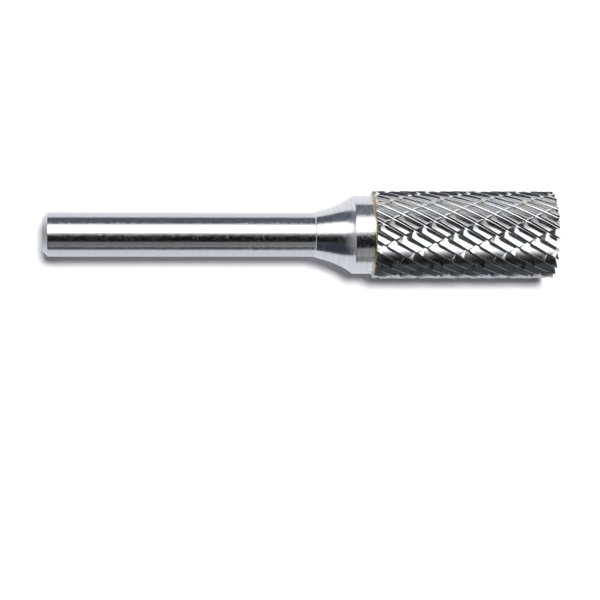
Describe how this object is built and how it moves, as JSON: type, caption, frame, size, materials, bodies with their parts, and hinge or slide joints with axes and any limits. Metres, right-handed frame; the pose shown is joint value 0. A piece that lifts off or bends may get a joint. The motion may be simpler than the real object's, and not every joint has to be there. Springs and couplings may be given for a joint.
{
  "type": "carbide burr",
  "caption": "Cylindrical rotary burr: a double-cut, end-cut carbide head brazed to the flared collar of a plain round steel shank.",
  "frame": {"origin": "centre of the end-cut face of the head, on the burr's axis, which is the face the burr stands on", "axes": "+Z along the axis, from the end-cut face to the free end of the shank; the tool turns clockwise seen from the shank"},
  "size_m": [0.012, 0.012, 0.07],
  "materials": {
    "carbide": "satin",
    "steel": "polished",
    "braze": "satin"
  },
  "bodies": {
    "root": {"cutting_head": "carbide", "braze_joint": "braze", "shank": "steel"}
  },
  "joints": []
}
